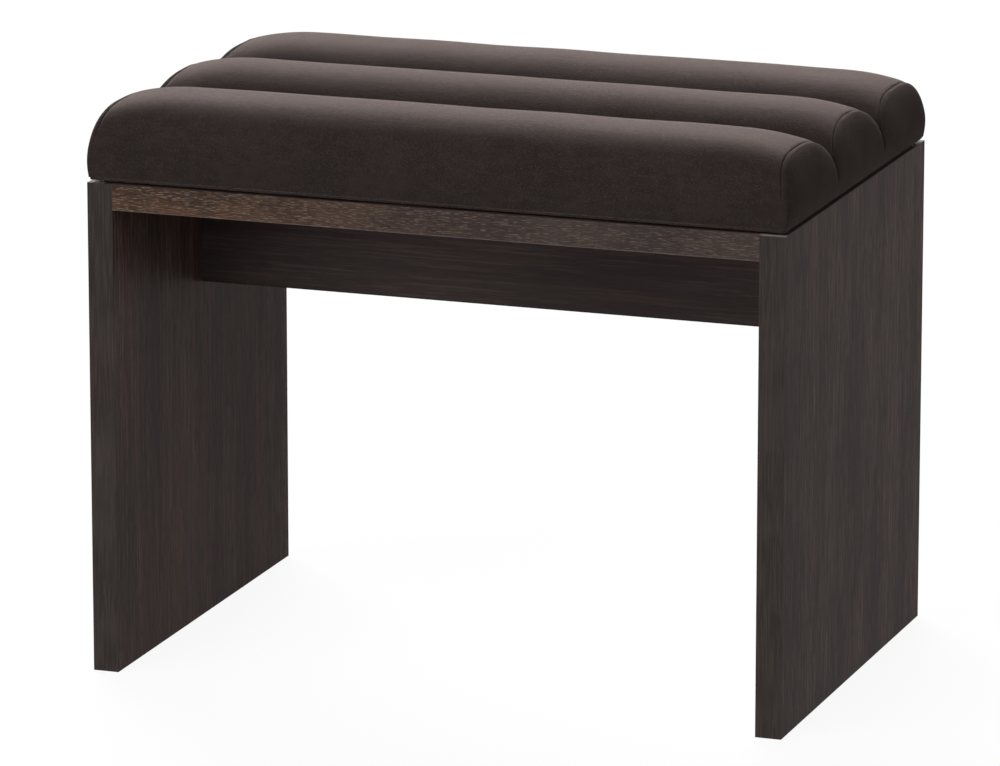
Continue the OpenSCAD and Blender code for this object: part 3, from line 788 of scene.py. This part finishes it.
def brown_band_finish():
    """Lighter brown edge band of the top board: dense short dashes, bolder and warmer at its left."""
    finish = Finish("brown_edge_band", {"Specular IOR Level": 0.02})
    dark_dash = finish.between(finish.spread(finish.stretched((0.08, 1, 1)), 2600), 0.5, 0.9)
    pale_dash = finish.between(finish.spread(finish.stretched((0.09, 1, 1)), 2900), 0.76, 0.93)
    patches = finish.noise(finish.stretched((0.5, 1, 1)), 34, 3.0, 0.6)
    to_right = finish.between(finish.axis("X") + (patches - 0.5) * 0.3, -0.3, 0.12)
    patch = finish.between(patches, 0.44, 0.6)
    warm = finish.mix(patch, tone(64, 50, 43), tone(84, 61, 46))
    grey = finish.mix(patch, tone(60, 52, 50), tone(67, 58, 55))
    ground = finish.mix(to_right, warm, grey)
    lined = finish.mix(dark_dash * (0.55 - to_right * 0.25), ground, tone(38, 30, 28))
    dashed = finish.mix(pale_dash * (0.6 - to_right * 0.3), lined, tone(136, 117, 104))
    foot = 1 - finish.between(finish.axis("Z"), STRIP_FOOT + 0.3 * MM, STRIP_FOOT + 1.0 * MM)
    colour = finish.mix(foot * 0.3, dashed, tone(128, 108, 104))
    finish.relief(pale_dash * 0.5 - dark_dash * 0.5, 0.12 * MM, 0.4)
    return finish.done(colour, 0.55 - pale_dash * 0.1)


def chipboard_finish():
    """Raw chipboard of the seat's base board."""
    finish = Finish("raw_chipboard", {"Specular IOR Level": 0.3})
    finish.relief(finish.cells(finish.place, 420), 0.4 * MM, 0.5)
    return finish.done(chipboard_colour(finish), 0.8 + finish.noise(finish.place, 300) * 0.15)


def beech_finish():
    """Raw beech of the dowels, with short darker rays along the grain."""
    finish = Finish("raw_beech", {"Specular IOR Level": 0.35})
    grain = finish.noise(finish.stretched((0.08, 1, 1)), 900, 3.0, 0.6)
    rays = finish.between(finish.noise(finish.stretched((0.2, 1, 1)), 1500, 1.0), 0.6, 0.7)
    ground = finish.mix(grain, tone(190, 150, 104), tone(224, 188, 142))
    finish.relief(grain, 0.1 * MM, 0.4)
    return finish.done(finish.mix(rays * 0.6, ground, tone(150, 108, 70)), 0.62 + grain * 0.12)


def metal_finish(name, dark, light, roughness, spot):
    """Plated or cast metal: cloudy tone and fine pits."""
    finish = Finish(name, {"Metallic": 1.0})
    cloud = finish.noise(finish.place, 160, 3.0, 0.6)
    pits = finish.noise(finish.place, spot, 2.0, 0.6)
    finish.relief(pits, 0.05 * MM, 0.5)
    return finish.done(finish.mix(cloud, dark, light), roughness + (cloud - 0.5) * 0.3)


def foam_finish():
    """Open-cell upholstery foam: cream, with small dark cells."""
    finish = Finish("cream_foam", {"Specular IOR Level": 0.2})
    cells = finish.cells(finish.place, 900)
    yellowed = finish.noise(finish.place, 26, 2.0)
    ground = finish.mix(yellowed, tone(236, 226, 190), tone(222, 204, 158))
    celled = finish.mix(finish.between(cells, 0.1, 0.5), tone(176, 160, 122), ground)
    finish.relief(cells, 0.5 * MM, 0.7)
    return finish.done(celled, 0.9 + cells * 0.05)


def webbing_finish():
    """Black woven tape: a plain weave of flat yarns."""
    finish = Finish("black_webbing", {"Specular IOR Level": 0.2, "Sheen Weight": 0.2})
    weave = finish.yarns("X", 160) * finish.yarns("DIAGONAL", 220)
    finish.relief(weave, 0.2 * MM, 0.8)
    return finish.done(finish.mix(weave, tone(20, 19, 19), tone(46, 43, 42)), 0.8 + weave * 0.1)


# Edges of the boards that are eased, the angle from which an edge counts, and how round they are
EASED_ABOVE = math.radians(40)
BOARD_EASE = 0.25 * MM
BAND_EASE = 0.4 * MM


def dress_nodes(material, edge, *names):
    """Gives CAD nodes their material, and their sharp edges a small round."""
    for name in names:
        node = nodes[name]
        for place in node.material_slots:
            place.material = material
        if edge:
            bevel = node.modifiers.new("eased edges", "BEVEL")
            bevel.width = edge
            bevel.segments = 2
            bevel.limit_method = "ANGLE"
            bevel.angle_limit = EASED_ABOVE
            bevel.harden_normals = True


def dress_carcass():
    """Boards, edge bands, base board and dowels in their finishes."""
    for node, name, grain, facing, bold, gloss, warmth in (
        ("left_side_panel", "wenge_left_upright", "Z", "X", 1.0, 0.022, 0.75),
        ("right_side_panel", "wenge_right_upright", "Z", "X", 1.0, 0.014, 0.1),
        ("top_board", "wenge_level", "X", "Z", 0.7, 0.022, 0.3),
        ("stretcher_rail", "wenge_rail", "X", "Y", 0.28, 0.045, 0.0),
    ):
        dress_nodes(board_finish(name, grain, facing, bold, gloss, warmth), BOARD_EASE, node)
    dark_band = dark_band_finish()
    dress_nodes(dark_band, BAND_EASE, "left_panel_edging", "right_panel_edging", "stretcher_edging")
    dress_nodes(brown_band_finish(), BAND_EASE, "top_board_edging")
    dress_nodes(chipboard_finish(), 0.0, "seat_base_board")
    dress_nodes(beech_finish(), 0.0, "top_board_dowels", "stretcher_dowels")


def dress_fittings():
    """Screws, bolts and staples in plated steel, and cam locks in cast zinc."""
    steel = metal_finish("plated_steel", tone(150, 150, 152), tone(206, 206, 206), 0.32, 900)
    zinc = metal_finish("cast_zinc", tone(138, 138, 142), tone(182, 182, 186), 0.5, 1400)
    dress_nodes(steel, 0.0, "top_board_cam_bolts", "stretcher_cam_bolts", "seat_screws")
    dress_nodes(steel, 0.0, "hem_staples", "channel_staples")
    dress_nodes(zinc, 0.0, "top_board_cam_locks", "stretcher_cam_locks")


# Photograph's frame: the camera's turn, height angle, distance, aim and lens
CAMERA_TURN = 0.343
CAMERA_RISE = 0.2435
CAMERA_DISTANCE = 5.928544
CAMERA_AIM = Vector((0.000498, -0.030, 0.232895))
CAMERA_LENS = 256.1


def set_camera():
    """Camera at the photograph's angle, with a long lens."""
    data = bpy.data.cameras.new("camera")
    data.lens = CAMERA_LENS
    data.sensor_width = 36
    data.clip_end = 100
    camera = bpy.data.objects.new("camera", data)
    level = math.cos(CAMERA_RISE)
    back = Vector((math.sin(CAMERA_TURN) * level, -math.cos(CAMERA_TURN) * level, math.sin(CAMERA_RISE)))
    camera.location = CAMERA_AIM + back * CAMERA_DISTANCE
    camera.rotation_euler = back.to_track_quat("Z", "Y").to_euler()
    bpy.context.scene.collection.objects.link(camera)
    bpy.context.scene.camera = camera


# Studio: half of the floor's length, the light of the surroundings, and each lamp's direction, its strength
# and its spread in degrees
FLOOR_HALF = 15.0
AROUND_STRENGTH = 0.08
LAMPS = {
    "key": ((-0.5, 0.9, 0.5), 6.0, 50),
    "front": ((-0.5, -1.0, 0.5), 2.9, 60),
    "side": ((1.0, -0.35, 0.2), 1.35, 60),
}


def set_stage():
    """White floor that keeps a soft shadow, white surroundings, and soft lamps from three sides."""
    world = bpy.data.worlds.new("studio")
    around = Nodes(world)
    around.nodes["Background"].inputs["Color"].default_value = (1, 1, 1, 1)
    around.nodes["Background"].inputs["Strength"].default_value = AROUND_STRENGTH
    around.shown("ShaderNodeBackground", "Background", "World Output", 1.0)
    bpy.context.scene.world = world
    bpy.context.scene.view_settings.view_transform = "Standard"

    corners = np.array([(-1, -1, 0), (1, -1, 0), (1, 1, 0), (-1, 1, 0)]) * FLOOR_HALF
    floor = new_mesh("floor", corners, [[0, 1, 2, 3]])
    pale = Finish("pale_floor", {"Roughness": 0.9, "Specular IOR Level": 0.0})
    mottled = pale.noise(pale.place, 30, 3.0)
    seen = pale.add("ShaderNodeLightPath", out="Is Camera Ray")
    bounced = pale.mix(mottled, (0.16, 0.16, 0.16, 1), (0.2, 0.2, 0.2, 1))
    pale.feed(pale.shader.inputs["Base Color"], pale.mix(seen, bounced, (0.9, 0.9, 0.9, 1)))
    pale.shown("ShaderNodeEmission", "Principled BSDF", "Material Output", 0.92)
    floor.data.materials.append(pale.material)

    for name, (direction, strength, spread) in LAMPS.items():
        lamp = bpy.data.lights.new(name, "SUN")
        lamp.energy = strength
        lamp.angle = math.radians(spread)
        lamp_object = bpy.data.objects.new(name, lamp)
        lamp_object.rotation_euler = Vector(direction).to_track_quat("Z", "Y").to_euler()
        bpy.context.scene.collection.objects.link(lamp_object)


velour = velour_finish("dark_velour", 0.33)
set_camera()
set_stage()
dress_carcass()
dress_fittings()
dress_seat(velour, velour_finish("dark_velour_nap_turned", 0.17))
seat_hem(velour)
channel_tapes(webbing_finish())
foam = foam_finish()
for roll in range(len(ROLLS)):
    foam_roll(roll, foam)
